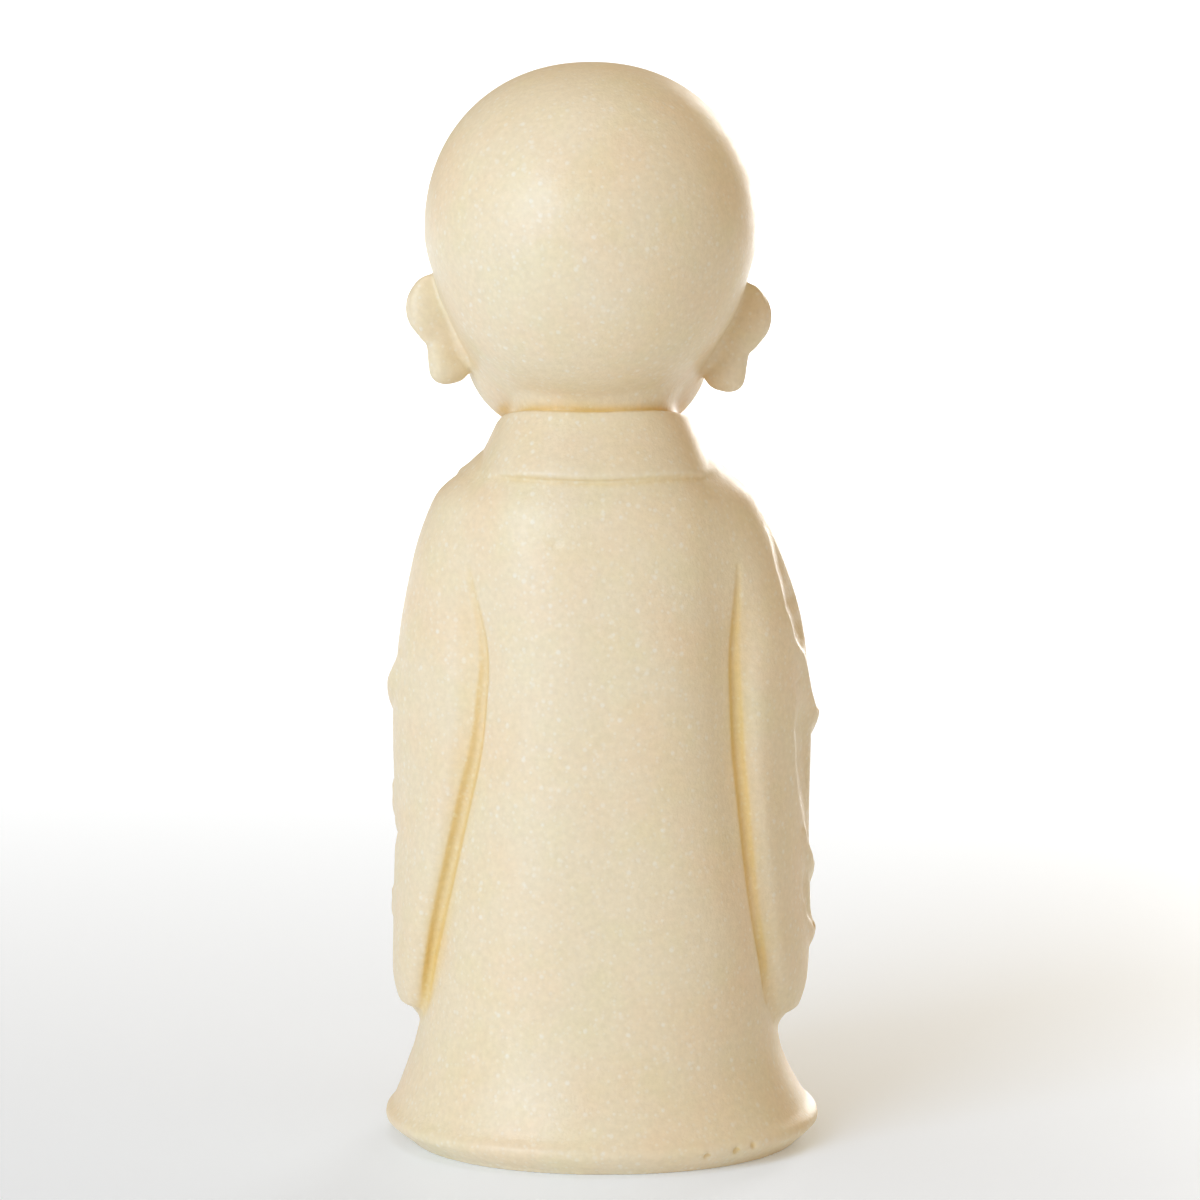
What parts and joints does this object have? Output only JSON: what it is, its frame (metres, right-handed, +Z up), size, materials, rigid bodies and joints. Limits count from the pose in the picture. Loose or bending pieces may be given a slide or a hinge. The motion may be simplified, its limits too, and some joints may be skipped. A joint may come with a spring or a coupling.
{
  "type": "praying monk statue",
  "caption": "Standing child monk figure with shaved head, long ears, wide-sleeved robe, flared hem and pressed hands, cast in one piece that stands on its flat underside.",
  "frame": {"origin": "middle of the flat underside, on the surface that the statue stands on", "axes": "+Z up through the crown, the face looks along -Y, the figure's left side is +X"},
  "size_m": [0.096, 0.0939, 0.2399],
  "materials": {
    "cast_stone": "cream cast resin stone, satin, with fine pale quartz grain, slightly translucent"
  },
  "bodies": {
    "root": {"monk_statue": "cast_stone"}
  },
  "joints": []
}
